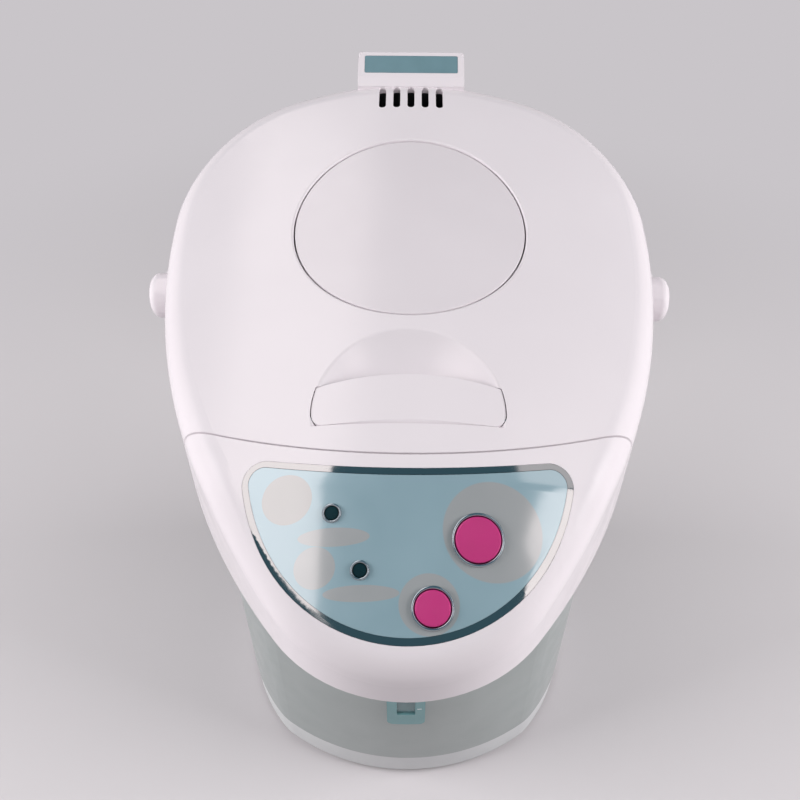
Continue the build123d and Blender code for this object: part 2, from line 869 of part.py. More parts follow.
def power_parts():
    z = power_z + board_t
    parts = [
        block(-26, -8, power_y - 10, power_y + 8, z, z + 15),
        block(0, 15, power_y - 12, power_y, z, z + 12),
        disc(5, z, z + 14, x=6, y=power_y + 9),
        block(20, 28, power_y - 6, power_y + 6, z, z + 8),
    ]
    return Compound(children=parts)


# ---- lid ----
def dish(grow):
    """Ball that sinks the finger recess, behind the paddle's front edge."""
    tilt = math.radians(crown_rise)
    lift = dish_r - dish_depth
    centre = (0, dish_y - lift * math.sin(tilt), dish_z + lift * math.cos(tilt))
    front = paddle_front_y - paddle_gap - grow
    return (Pos(*centre) * Sphere(dish_r + grow)) & block(-far, far, front, far, 0, 2 * far)


def recess_plan(grow, front_y):
    """Round outline, cut off along the paddle's front edge."""
    plan = Pos(0, recess_y) * Circle(recess_r + grow)
    plan -= Pos(0, front_y - 50) * Rectangle(far, 100)
    return fillet(plan.vertices().sort_by(Axis.Y)[:2], paddle_corner_r + grow)


def under_crown(y0, y1, depth):
    points = [(y0, crown_at(y0) - depth), (y1, crown_at(y1) - depth), (y1, far), (y0, far)]
    return side_form(points, -far / 2, far / 2)


def paddle_opening(grow):
    """Room for the paddle, deeper round its barrel."""
    plan = recess_plan(grow, paddle_front_y - paddle_gap - grow)
    shallow = plan & Pos(0, paddle_back_y - paddle_back_r) * Circle(paddle_back_r + paddle_gap)
    floor = paddle_sunk + paddle_t + run_gap + grow
    room = slab(shallow, seam_z, far) - head_form(floor)
    return room + (slab(plan, seam_z, far) & under_crown(-far, barrel_room_y, barrel_room + grow))


def slots():
    cuts = []
    for i in range(slot_count):
        x = (i - (slot_count - 1) / 2) * slot_pitch
        mid = (slot_y0 + slot_y1) / 2
        plan = Pos(x, mid) * Rot(0, 0, 90) * SlotOverall(slot_y1 - slot_y0, slot_w)
        cuts.append(slab(plan, crown_z - 10, far))
    return cuts


def tab_points():
    z = crown_at(tab_y0)
    return [
        (tab_y0, z - wall),
        (tab_y0, z - 0.5),
        (tab_y0 + 3, z - 2.0 + tab_h / 2),
        (tab_y1 - 3, z + tab_h - 0.5),
        (tab_y1 - 0.5, z + tab_h - 1.5),
        (tab_y1, z - 8),
        (head_back - wall / 2, z - 24),
    ]


def tab_form():
    """The rear tab: its side view, with round upper corners from the front."""
    top = crown_at(tab_y0) + tab_h - 0.5
    front = Pos(0, top - 2 * tab_w / 2) * RectangleRounded(tab_w, 2 * tab_w, tab_round)
    return side_form(tab_points(), -tab_w / 2, tab_w / 2) & extrude(Plane.XZ * front, far, both=True)


def lid_shell():
    half_gap = parting_gap / 2
    outer = (head_form() & lid_zone(-half_gap, lid_z)) - dish(0)
    rim_at = (0, dish_y + dish_rim_r, dish_z + rise * dish_rim_r)
    outer = fillet(outer.edges().sort_by_distance(rim_at)[:1], dish_edge_r)
    inner = (head_form(wall) & lid_zone(-half_gap - wall, 0)) - dish(wall)
    form = outer - inner
    well_z = crown_z - well_drop
    bore = plate_r + run_gap
    form += (ring(bore + well_t, bore - 1, well_z, far, y=plate_y)) & head_form(wall / 2)
    form += paddle_opening(wall) & head_form(wall / 2) & lid_zone(-half_gap, lid_z)
    form += tab_form() - head_form(wall / 2)
    for x, y in lid_screw_spots():
        form += disc(screw_post_r, liner_top, far, x, y) & head_form(wall / 2)
        form -= disc(screw_r + shaft_gap, 0, liner_top + 10, x, y)
    form -= disc(bore, 0, far, y=plate_y)
    bore_at = (0, plate_y + bore, crown_at(plate_y + bore))
    form = fillet(form.edges().sort_by_distance(bore_at)[:1], bore_edge_r)
    form -= paddle_opening(0)
    form -= dish(0)
    for cut in slots():
        form -= cut
    form -= plaque_form(fit_gap / 2)
    knuckle = rod_x(hinge_r, -hinge_half, hinge_half, hinge_y, hinge_z)
    web = block(-hinge_half, hinge_half, head_back - 10, hinge_y, lid_z, lid_z + 4)
    form += (knuckle + web) - slab(egg_plan(wall / 2), 0, far)
    form -= rod_x(hinge_pin_r + shaft_gap, -far, far, hinge_y, hinge_z)
    w = nose_w / 2 + run_gap
    form -= block(-w, w, -far, barrel_y + 2 * barrel_r, gate_z, barrel_z - nose_drop + run_gap)
    form -= latch_pin()
    return form


def lid_screw_spots():
    return [(sx * x, y) for x, y in screw_spots for sx in (-1, 1)]


def plaque_form(grow):
    """Plate let into the tab's sloping face."""
    points = tab_points()
    low, high = Vector(0, *points[2]), Vector(0, *points[3])
    mid = (low + high) * 0.5
    along = (high - low).normalized()
    plane = Plane(mid, x_dir=(1, 0, 0), z_dir=Vector(1, 0, 0).cross(along))
    plate = RectangleRounded(plaque_w + 2 * grow, plaque_h + 2 * grow, 0.8)
    return extrude(plane * plate, plaque_t, dir=-plane.z_dir)


def label_plaque():
    return plaque_form(0.0)


def lid_liner():
    edge = wall + fit_gap
    plan = egg_plan(edge) & Pos(0, parting_r - parting_y) * Circle(parting_r - parting_gap / 2 - edge)
    plate = slab(plan, lid_z, liner_top) - disc(6, 0, far)
    for x, y in lid_screw_spots():
        plate -= disc(screw_r + fit_gap, 0, far, x, y)
        plate -= disc(screw_head_r + fit_gap, lid_z, lid_z + screw_head_h + 0.2, x, y)
    return plate


def liner_screws():
    screws = []
    for x, y in lid_screw_spots():
        z = lid_z + fit_gap
        head = disc(screw_head_r, z, z + screw_head_h, x, y)
        screws.append(head + disc(screw_r, z + screw_head_h, liner_top + 9, x, y))
    return Compound(children=screws)


def inner_lid():
    cup = disc(plug_r, plug_z, lid_z)
    cup = fillet(cup.edges().group_by(Axis.Z)[0], 3)
    hollow = disc(plug_r - steel_t, plug_z + steel_t, lid_z)
    hollow = fillet(hollow.edges().group_by(Axis.Z)[0], 3 - steel_t)
    form = cup - hollow - disc(3, 0, far)
    for a in (60, 90, 120):
        form -= disc(2, 0, lid_z - 1, 52 * math.cos(math.radians(a)), 52 * math.sin(math.radians(a)))
    return form


def lid_gasket():
    z = plug_z + 4.5
    r = plug_r + shaft_gap
    ribs = ring(r + gasket_t, r, z, z + 1.2) + ring(r + gasket_t, r, z + gasket_h - 1.2, z + gasket_h)
    return ribs + ring(r + gasket_t / 2, r, z, z + gasket_h)


def air_valve():
    z = plug_z + steel_t
    return disc(7, z, z + 1.6) + disc(3 - shaft_gap, plug_z - 2, z)


def steam_duct():
    w = (slot_count * slot_pitch) / 2 + duct_t
    outer = block(-w, w, slot_y0 - duct_t, slot_y1 + duct_t, liner_top, far)
    inner = block(-w + duct_t, w - duct_t, slot_y0, slot_y1, 0, far)
    return (outer - inner) & head_form(wall + fit_gap)


def bellows_profile(r_out, r_in, z0, z1):
    step = (z1 - z0) / (2 * bellows_folds)
    return [(r_in if i % 2 else r_out, z0 + i * step) for i in range(2 * bellows_folds + 1)]


def bellows():
    z0, z1 = liner_top, liner_top + bellows_h
    outer = bellows_profile(bellows_r, bellows_r - 4, z0, z1)
    form = revolve(Plane.XZ * make_face(Polyline((0, z0), *outer, (0, z1), close=True)), Axis.Z)
    inset = bellows_wall
    inner = bellows_profile(bellows_r - inset, bellows_r - 4 - inset, z0, z1)
    hollow = revolve(Plane.XZ * make_face(Polyline((0, z0), *inner, (0, z1), close=True)), Axis.Z)
    hollow &= disc(bellows_r, z0 + bellows_wall, z1 - bellows_wall)
    return Pos(0, plate_y, 0) * (form - hollow) - disc(6, 0, z0 + 2 * bellows_wall, y=0)


def bellows_spring():
    z0 = liner_top + bellows_wall + spring_wire_r + 0.05
    h = bellows_h - 2 * (bellows_wall + spring_wire_r + 0.05)
    path = Helix(h / spring_turns, h, spring_r)
    coil = sweep(Plane(path @ 0, z_dir=path % 0) * Circle(spring_wire_r), path=path)
    return Pos(0, plate_y, z0) * coil


def press_plate():
    column = disc(plate_r, 0, far, y=plate_y)
    top = (head_form(plate_sunk) - head_form(plate_sunk + plate_t)) & column
    edge_at = (0, plate_y + plate_r, crown_at(plate_y + plate_r, plate_sunk))
    top = fillet(top.edges().sort_by_distance(edge_at)[:1], plate_edge_r)
    skirt_z = liner_top + press_stroke + 1
    skirt = ring(plate_r - run_gap / 2, plate_r - run_gap / 2 - 2, skirt_z, far, y=plate_y)
    pusher = ring(20, 17, liner_top + bellows_h + 0.1, far, y=plate_y)
    return top + ((skirt + pusher) & head_form(plate_sunk + plate_t / 2))


# ---- latch ----
def paddle_plan():
    plan = recess_plan(-paddle_gap, paddle_front_y)
    plan &= Pos(0, paddle_back_y - paddle_back_r) * Circle(paddle_back_r)
    return fillet(plan.vertices().sort_by(Axis.Y)[-2:], 1.0)


def latch_lever():
    w = recess_r
    skin = head_form(paddle_sunk) - head_form(paddle_sunk + paddle_t)
    paddle = skin & block(-w, w, barrel_y, 0, 0, far)
    barrel = rod_x(barrel_r, -w, w, barrel_y, barrel_z) & head_form(paddle_sunk)
    cap = (paddle + barrel) & slab(paddle_plan(), 0, far)
    z1 = barrel_z - nose_drop
    half = barrel_r * 0.6
    nose = block(-nose_w / 2, nose_w / 2, -parting_y, barrel_y + half, z1 - nose_t, z1)
    web = block(-nose_w / 2, nose_w / 2, barrel_y - half, barrel_y + half, z1 - nose_t, barrel_z)
    form = cap + (nose & lid_zone(-parting_gap / 2, 0)) + web
    return form - rod_x(latch_pin_r + shaft_gap, -far, far, barrel_y, barrel_z)


def latch_pin():
    return rod_x(latch_pin_r, -recess_r - wall + 0.5, recess_r + wall - 0.5, barrel_y, barrel_z)


# ---- handle ----
def bail_handle():
    x1 = ear_x - ear_inset
    x0 = x1 - handle_w
    reach = handle_reach
    outer = Pos(0, reach / 2) * Rectangle(2 * x1, reach)
    outer = fillet(outer.vertices().sort_by(Axis.Y)[-2:], handle_corner_r + handle_w)
    hole = Pos(0, (reach - handle_w) / 2 - 5) * Rectangle(2 * x0, reach - handle_w + 10)
    inner = fillet(hole.vertices().sort_by(Axis.Y)[-2:], handle_corner_r)
    bow = Pos(0, 0, -handle_t / 2) * extrude(outer - inner, handle_t)
    long_edges = [e for e in bow.edges() if e.bounding_box().size.Z < 0.1 and e.length > 20]
    bow = fillet(long_edges, handle_t * 0.35)
    bow = Pos(0, pivot_y, pivot_z) * Rot(-handle_stow, 0, 0) * bow
    disc_x = rod_x(ear_r, ear_x - ear_t, ear_x, pivot_y, pivot_z)
    disc_x = fillet(disc_x.edges().filter_by(GeomType.CIRCLE).sort_by(Axis.X)[-1:], ear_round)
    form = bow + both_sides(disc_x)
    return form - both_sides(rod_x(pivot_pin_r + shaft_gap, 0, ear_x - 5, pivot_y, pivot_z))


nodes = {
    "turntable": turntable,
    "foot_ring": foot_ring,
    "glide_ring": glide_ring,
    "pivot_retainer": pivot_retainer,
    "pivot_screw": pivot_screw,
    "base_ring": base_ring,
    "base_cover": base_cover,
    "base_screws": base_screws,
    "outer_shell": outer_shell,
    "gauge_frame": gauge_frame,
    "gauge_window": gauge_window,
    "front_housing": front_housing,
    "beak_cover": beak_cover,
    "beak_screws": beak_screws,
    "latch_catch": latch_catch,
    "hinge_pin": hinge_pin,
    "handle_pins": handle_pins,
    "panel_plate": panel_plate,
    "panel_trim": panel_trim,
    "button_bezels": button_bezels,
    "indicator_bezels": indicator_bezels,
    "indicator_lenses": indicator_lenses,
    "control_board": control_board,
    "tact_switches": tact_switches,
    "board_screws": board_screws,
    "tank": tank,
    "heater_plate": heater_plate,
    "keep_warm_band": keep_warm_band,
    "thermostats": thermostats,
    "tie_rods": tie_rods,
    "pump_housing": pump_housing,
    "pump_motor": pump_motor,
    "motor_mount": motor_mount,
    "outlet_hose": outlet_hose,
    "riser_hose": riser_hose,
    "riser_tube": riser_tube,
    "spout_elbow": spout_elbow,
    "spout_nozzle": spout_nozzle,
    "inlet_socket": inlet_socket,
    "inlet_pins": inlet_pins,
    "power_board": power_board,
    "power_parts": power_parts,
    "lid_shell": lid_shell,
    "lid_liner": lid_liner,
    "liner_screws": liner_screws,
    "inner_lid": inner_lid,
    "lid_gasket": lid_gasket,
    "air_valve": air_valve,
    "steam_duct": steam_duct,
    "label_plaque": label_plaque,
    "bellows": bellows,
    "bellows_spring": bellows_spring,
    "latch_pin": latch_pin,
    "press_plate": press_plate,
    "latch_lever": latch_lever,
    "bail_handle": bail_handle,
    "pump_button": lambda: button(pump_plane, pump_button_r),
    "reheat_button": lambda: button(reheat_plane, reheat_button_r),
    "impeller": impeller,
    "impeller_shaft": impeller_shaft,
}

os.makedirs("parts", exist_ok=True)
for name, make in nodes.items():
    export_step(make(), f"parts/{name}.step")
    print("wrote", name)
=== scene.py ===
import math

import bmesh
import bpy
from mathutils import Euler, Matrix, Vector


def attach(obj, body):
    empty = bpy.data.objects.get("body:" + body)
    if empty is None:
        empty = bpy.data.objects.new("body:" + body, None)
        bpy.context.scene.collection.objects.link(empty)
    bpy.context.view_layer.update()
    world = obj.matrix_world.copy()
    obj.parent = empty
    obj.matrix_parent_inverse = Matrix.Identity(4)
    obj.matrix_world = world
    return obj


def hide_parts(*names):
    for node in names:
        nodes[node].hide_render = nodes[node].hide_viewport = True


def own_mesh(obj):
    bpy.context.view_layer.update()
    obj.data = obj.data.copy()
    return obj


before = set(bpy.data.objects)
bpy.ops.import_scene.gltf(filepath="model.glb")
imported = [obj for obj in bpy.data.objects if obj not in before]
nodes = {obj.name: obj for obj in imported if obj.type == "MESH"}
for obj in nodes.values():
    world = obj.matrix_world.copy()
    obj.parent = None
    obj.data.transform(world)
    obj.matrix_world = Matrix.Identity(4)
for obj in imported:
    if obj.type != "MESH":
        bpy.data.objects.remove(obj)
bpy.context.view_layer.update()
scene = bpy.context.scene
mm = 0.001  # sizes and places in this script are in millimetres unless a note says otherwise
print("frame loaded:", len(nodes), "nodes")


# ---- shader helpers
def linear(hexColour):
    parts = [int(hexColour[i:i + 2], 16) / 255 for i in (0, 2, 4)]
    return [c / 12.92 if c <= 0.04045 else ((c + 0.055) / 1.055) ** 2.4 for c in parts] + [1.0]


def addNode(tree, kind, inputs=None, **settings):  # an input is a socket to link, a hex colour or a value
    node = tree.nodes.new(kind)
    for name, value in settings.items():
        setattr(node, name, value)
    for key, value in (inputs or {}).items():
        value = linear(value) if isinstance(value, str) else value
        if isinstance(value, bpy.types.NodeSocket):
            tree.links.new(value, node.inputs[key])
        else:
            node.inputs[key].default_value = value
    return node


def emptyTree(owner):  # owner is a material or a world
    owner.use_nodes = True
    owner.node_tree.nodes.clear()
    return owner.node_tree


def startMaterial(name, shader):  # shader holds the values that are the same all over
    material = bpy.data.materials.new(name)
    tree = emptyTree(material)
    surface = addNode(tree, "ShaderNodeBsdfPrincipled", shader)
    addNode(tree, "ShaderNodeOutputMaterial", {"Surface": surface.outputs["BSDF"]})
    place = addNode(tree, "ShaderNodeTexCoord").outputs["Object"]
    return material, tree, surface, place


def maths(tree, operation, *values):
    return addNode(tree, "ShaderNodeMath", dict(enumerate(values)), operation=operation).outputs[0]


def mixed(tree, share, first, second):  # inputs 6 and 7 of a Mix node are its two colours
    inputs = {0: share, 6: first, 7: second}
    return addNode(tree, "ShaderNodeMix", inputs, data_type="RGBA").outputs[2]


def ranged(tree, value, valueFrom, valueTo, low, high, **settings):
    inputs = {"Value": value, "From Min": valueFrom, "From Max": valueTo, "To Min": low, "To Max": high}
    return addNode(tree, "ShaderNodeMapRange", inputs, **settings).outputs["Result"]


noiseBand = (0.3, 0.7)  # most of Blender's noise lies between these two


def clouds(tree, place, size, low=0, high=1, detail=2.0):  # soft random patches of that size
    inputs = {"Vector": place, "Scale": 1 / (size * mm), "Detail": detail}
    noise = addNode(tree, "ShaderNodeTexNoise", inputs).outputs["Fac"]
    return ranged(tree, noise, *noiseBand, low, high, clamp=False)


def stretched(tree, place, scale):  # a pattern is drawn out along the axes with a small scale
    return addNode(tree, "ShaderNodeMapping", {"Vector": place, "Scale": scale}).outputs["Vector"]


def colourWith(tree, surface, colour):
    tree.links.new(colour, surface.inputs["Base Color"])


def dullWith(tree, surface, roughness):
    tree.links.new(roughness, surface.inputs["Roughness"])


def dullPatches(tree, surface, place, spec, detail=2.0):  # spread holds shares of the mean roughness
    low, high = (spec["rough"] * share for share in spec["spread"])
    dullWith(tree, surface, clouds(tree, place, spec["dullPatch"], low, high, detail))


def roughen(tree, surface, height, depth):  # height runs from 0 to 1
    inputs = {"Height": height, "Distance": depth * mm, "Strength": 1.0}
    tree.links.new(addNode(tree, "ShaderNodeBump", inputs).outputs["Normal"], surface.inputs["Normal"])


# ---- plastics and rubbers: patch is the size of the shade's drift, grain and depth that of the skin
finishes = {
    # ABS from a polished tool: hard gloss over a very faint waviness
    "absPolishedWhite": {
        "colour": "e6dee3", "shade": "e3dbe0", "rough": 0.21, "patch": 50, "grain": 3.0, "depth": 0.004,
    },
    # the press plate is moulded apart from the lid and comes out a shade greyer
    "absPolishedGrey": {
        "colour": "dfd7dc", "shade": "dcd4d9", "rough": 0.2, "patch": 40, "grain": 3.0, "depth": 0.004,
    },
    # natural polypropylene of the base ring: milky, softer gloss
    "polypropyleneMilky": {
        "colour": "d0d1d2", "shade": "cacbcd", "rough": 0.36, "patch": 30, "grain": 2.0, "depth": 0.006,
    },
    # inner mouldings, satin from a spark-eroded tool
    "absSatinWhite": {
        "colour": "dcd9d8", "shade": "d5d2d1", "rough": 0.42, "patch": 30, "grain": 0.8, "depth": 0.02,
    },
    # acetal glide ring, waxy
    "acetalNatural": {
        "colour": "e4e3dc", "shade": "dcdbd2", "rough": 0.35, "patch": 20, "grain": 1.5, "depth": 0.008,
    },
    # button caps, ABS dyed right through, glossy
    "absPolishedPink": {
        "colour": "c03379", "shade": "b92e73", "rough": 0.2, "patch": 12, "grain": 2.0, "depth": 0.003,
    },
    # smoked acrylic of the two lamps, as smooth as glass
    "acrylicSmoked": {
        "colour": "0b2227", "shade": "0e2a30", "rough": 0.08, "patch": 6, "grain": 2.0, "depth": 0.002,
    },
    # polycarbonate gauge frame, dyed right through, glossy
    "polycarbonateTeal": {
        "colour": "729ea2", "shade": "6b979b", "rough": 0.18, "patch": 20, "grain": 2.0, "depth": 0.003,
    },
    # bare plate of printed polycarbonate, matt and fine-grained
    "polycarbonatePrinted": {
        "colour": "6b8b95", "shade": "66868f", "rough": 0.45, "patch": 9, "grain": 0.5, "depth": 0.006,
    },
    # glass-filled nylon, grainy and dull
    "nylonGlassFilledGrey": {
        "colour": "8d9091", "shade": "83878a", "rough": 0.5, "patch": 15, "grain": 0.6, "depth": 0.02,
    },
    # heat-proof nylon of the inlet and the switches, dull black
    "nylonBlack": {
        "colour": "161718", "shade": "1d1e20", "rough": 0.45, "patch": 15, "grain": 0.7, "depth": 0.02,
    },
    # nitrile foot, bloomed and matt
    "rubberBlack": {
        "colour": "141414", "shade": "1f1f1f", "rough": 0.75, "patch": 12, "grain": 0.5, "depth": 0.03,
    },
    # cast silicone of hoses, bellows, gasket and valve: milky satin
    "siliconeMilky": {
        "colour": "d6d4cf", "shade": "cbc9c4", "rough": 0.48, "patch": 14, "grain": 1.0, "depth": 0.01,
    },
    # pressed mica band round the tank, flaky and brown
    "micaSheet": {
        "colour": "a3947a", "shade": "7f725c", "rough": 0.4, "patch": 8, "grain": 1.0, "depth": 0.04,
    },
}


mouldings = {"ior": 1.53, "spread": (0.85, 1.2), "finer": 4}  # the gloss drifts finer than the shade


def moulded(name, spec):
    material, tree, surface, place = startMaterial(name, {"IOR": mouldings["ior"]})
    sheen = {**mouldings, "rough": spec["rough"], "dullPatch": spec["patch"] / mouldings["finer"]}
    colourWith(tree, surface, mixed(tree, clouds(tree, place, spec["patch"]), spec["colour"], spec["shade"]))
    dullPatches(tree, surface, place, sheen, detail=4)
    roughen(tree, surface, clouds(tree, place, spec["grain"]), spec["depth"])
    return material


# ---- metals: the grain's lines run across the axis that is stretched most
metals = {
    # deep-drawn and polished 304 stainless, lines round the tank
    "stainlessDrawn": {
        "colour": "dbdad7", "shade": "cccbc8", "rough": 0.2,
        "stretch": (1, 1, 30), "grain": 20, "depth": 0.003,
    },
    # zinc-plated screws, pins and springs, dull silver
    "steelZincPlated": {
        "colour": "a9a9a6", "shade": "8f9092", "rough": 0.33,
        "stretch": (1, 1, 1), "grain": 2, "depth": 0.006,
    },
    # die-cast aluminium heater and thermostat cans, matt and slightly pitted
    "aluminiumCast": {
        "colour": "a8a9aa", "shade": "97989a", "rough": 0.45,
        "stretch": (1, 1, 1), "grain": 1.2, "depth": 0.03,
    },
    # rolled brass of the inlet blades, warm with fine lines
    "brassRolled": {
        "colour": "c8a24e", "shade": "b8923f", "rough": 0.25,
        "stretch": (1, 20, 1), "grain": 4, "depth": 0.004,
    },
    # chromium-plated bezels, satin
    "chromeSatin": {
        "colour": "b9bdc0", "shade": "adb2b6", "rough": 0.2,
        "stretch": (1, 1, 1), "grain": 8, "depth": 0.001,
    },
    # metallised border of the panel film: a mirror with a faint ripple
    "filmMirror": {
        "colour": "a8a6a5", "shade": "a2a09f", "rough": 0.07,
        "stretch": (1, 1, 1), "grain": 30, "depth": 0.004,
    },
}


metalSpread = (0.7, 1.3)  # shares of the mean roughness on the lines and between them


def drawnMetal(name, spec):
    material, tree, surface, place = startMaterial(name, {"Metallic": 1.0})
    lines = clouds(tree, stretched(tree, place, spec["stretch"]), spec["grain"], detail=5)
    low, high = (spec["rough"] * share for share in metalSpread)
    colourWith(tree, surface, mixed(tree, lines, spec["colour"], spec["shade"]))
    dullWith(tree, surface, ranged(tree, lines, 0.0, 1.0, low, high))
    roughen(tree, surface, lines, spec["depth"])
    return material


# ---- painted steel body
enamel = {
    # both tones are set darker than the enamel's own paler grey-green: painted shade for the shadow under the
    # overhanging head
    "colour": "9ca3a2", "shade": "989f9e", "patch": 45,
    "rough": 0.37, "spread": (0.85, 1.15), "dullPatch": 12, "peel": 1.8, "depth": 0.004,
    "coat": 0.4, "coatRough": 0.12,
}


def stovedEnamel(name):  # baked enamel: an orange-peel skin under a softer gloss than the mouldings
    shader = {"Coat Weight": enamel["coat"], "Coat Roughness": enamel["coatRough"]}
    material, tree, surface, place = startMaterial(name, shader)
    drift = clouds(tree, place, enamel["patch"])
    colourWith(tree, surface, mixed(tree, drift, enamel["colour"], enamel["shade"]))
    dullPatches(tree, surface, place, enamel)
    roughen(tree, surface, clouds(tree, place, enamel["peel"]), enamel["depth"])
    return material


# ---- printed panel film
film = {
    "colour": "98b0ba", "shade": "92aab4", "patch": 30, "spotRound": "a8a6a6", "spotPale": "a39f9d",
    "metal": 0.12, "ior": 1.6, "rough": 0.2, "spread": (0.8, 1.3), "dullPatch": 8,
    "ripple": 12, "depth": 0.006,
    "coat": 1.0, "coatIor": 2.25, "coatRough": 0.09,  # a metal-oxide varnish, which mirrors more than lacquer
    "tilt": 30.0, "blur": 0.015,  # tilt of the panel in degrees, half width of a spot's soft edge as a share
    # x and y of the centre, half width and half height along the slope, and colour
    "spots": [
        (27.2, -116.8, 16.0, 16.0, "spotRound"), (6.9, -137.0, 9.5, 9.5, "spotRound"),
        (-39.0, -107.6, 8.2, 8.2, "spotPale"), (-29.2, -126.9, 6.6, 6.6, "spotRound"),
        (-23.4, -118.8, 11.5, 3.0, "spotRound"), (-14.3, -134.1, 12.0, 2.6, "spotRound"),
    ],
}


def printedFilm(name):  # screen print on metallised polyester: pearly blue with plain grey spots
    shader = {
        "Metallic": film["metal"], "IOR": film["ior"], "Coat Weight": film["coat"],
        "Coat IOR": film["coatIor"], "Coat Roughness": film["coatRough"],
    }
    material, tree, surface, place = startMaterial(name, shader)
    split = addNode(tree, "ShaderNodeSeparateXYZ", {"Vector": place}).outputs
    tone = mixed(tree, clouds(tree, place, film["patch"]), film["colour"], film["shade"])
    flat = math.cos(math.radians(film["tilt"]))
    for x, y, halfWide, halfHigh, colour in film["spots"]:
        across = maths(tree, "DIVIDE", maths(tree, "SUBTRACT", split[0], x * mm), halfWide * mm)
        along = maths(tree, "DIVIDE", maths(tree, "SUBTRACT", split[1], y * mm), halfHigh * flat * mm)
        squares = [maths(tree, "POWER", part, 2.0) for part in (across, along)]
        away = maths(tree, "SQRT", maths(tree, "ADD", *squares))
        inside = ranged(tree, away, 1 - film["blur"], 1 + film["blur"], 1.0, 0.0)
        tone = mixed(tree, inside, tone, film[colour])
    colourWith(tree, surface, tone)
    dullPatches(tree, surface, place, film, detail=4)
    roughen(tree, surface, clouds(tree, place, film["ripple"]), film["depth"])
    return material


# ---- clear parts
clearParts = {
    # cast and dyed acrylic window, which lets the tube show through
    "acrylicTinted": {"colour": "8fb2b6", "ior": 1.49, "rough": 0.06, "clear": 0.55},
    # drawn borosilicate tube, clear
    "glassBorosilicate": {"colour": "eef6f5", "ior": 1.47, "rough": 0.03, "clear": 1.0},
}
flowLines = {"size": 8, "draw": (1, 1, 0.2), "depth": 0.002, "dullPatch": 6, "spread": (0.6, 1.6)}


def clearPart(name, spec):  # faint flow lines keep it from looking empty
    shader = {"Base Color": spec["colour"], "Transmission Weight": spec["clear"], "IOR": spec["ior"]}
    material, tree, surface, place = startMaterial(name, shader)
    lines = clouds(tree, stretched(tree, place, flowLines["draw"]), flowLines["size"])
    dullPatches(tree, surface, place, {**flowLines, "rough": spec["rough"]})
    roughen(tree, surface, lines, flowLines["depth"])
    return material


# ---- circuit boards
board = {
    "colour": "245a3c", "shade": "2c6a47", "weave": 1.2, "depth": 0.01, "coat": 0.3,
    "copper": "3a7c55", "track": 3, "trackDraw": (1, 0.25, 1), "trackEdge": 2,
    "smooth": 0.3, "dull": 0.45, "dullPatch": 5,
}


def laminate(name):  # solder-masked glass laminate: weave and copper tracks just show through the green
    material, tree, surface, place = startMaterial(name, {"Coat Weight": board["coat"]})
    inputs = {"Vector": place, "Scale": 1 / (board["weave"] * mm)}
    threads = addNode(tree, "ShaderNodeTexChecker", inputs).outputs["Fac"]
    drawn = stretched(tree, place, board["trackDraw"])
    tracks = clouds(tree, drawn, board["track"], -board["trackEdge"], board["trackEdge"], detail=0)
    plain = mixed(tree, threads, board["colour"], board["shade"])
    colourWith(tree, surface, mixed(tree, tracks, plain, board["copper"]))
    dullWith(tree, surface, clouds(tree, place, board["dullPatch"], board["smooth"], board["dull"]))
    roughen(tree, surface, threads, board["depth"])
    return material


# ---- printed scale of the gauge frame
gaugeScale = {
    "low": 80.0, "high": 204.0, "margin": 1.0, "step": 15.0, "line": 0.8,  # heights
    "from": 5.6, "to": 7.8, "ink": "dfe8e8",  # x of both ends of a mark
}


def between(tree, value, low, high):
    above = maths(tree, "GREATER_THAN", value, low * mm)
    return maths(tree, "MULTIPLY", above, maths(tree, "LESS_THAN", value, high * mm))


def printScale(material):  # pad-printed level marks beside the window
    tree = material.node_tree
    surface = next(n for n in tree.nodes if n.type == "BSDF_PRINCIPLED")
    place = next(n for n in tree.nodes if n.type == "TEX_COORD").outputs["Object"]
    split = addNode(tree, "ShaderNodeSeparateXYZ", {"Vector": place}).outputs
    climb = maths(tree, "SUBTRACT", split[2], gaugeScale["low"] * mm)
    phase = maths(tree, "FRACT", maths(tree, "DIVIDE", climb, gaugeScale["step"] * mm))
    line = maths(tree, "LESS_THAN", phase, gaugeScale["line"] / gaugeScale["step"])
    column = between(tree, split[0], gaugeScale["from"], gaugeScale["to"])
    height = between(tree, split[2], gaugeScale["low"] - gaugeScale["margin"], gaugeScale["high"])
    ink = maths(tree, "MULTIPLY", line, maths(tree, "MULTIPLY", column, height))
    plain = surface.inputs["Base Color"].links[0].from_socket
    colourWith(tree, surface, mixed(tree, ink, plain, gaugeScale["ink"]))


materialOf = {name: moulded(name, spec) for name, spec in finishes.items()}
materialOf.update({name: drawnMetal(name, spec) for name, spec in metals.items()})
materialOf.update({name: clearPart(name, spec) for name, spec in clearParts.items()})
materialOf["enamelStoved"] = stovedEnamel("enamelStoved")
materialOf["polyesterScreenPrinted"] = printedFilm("polyesterScreenPrinted")
materialOf["laminateSolderMasked"] = laminate("laminateSolderMasked")
printScale(materialOf["polycarbonateTeal"])

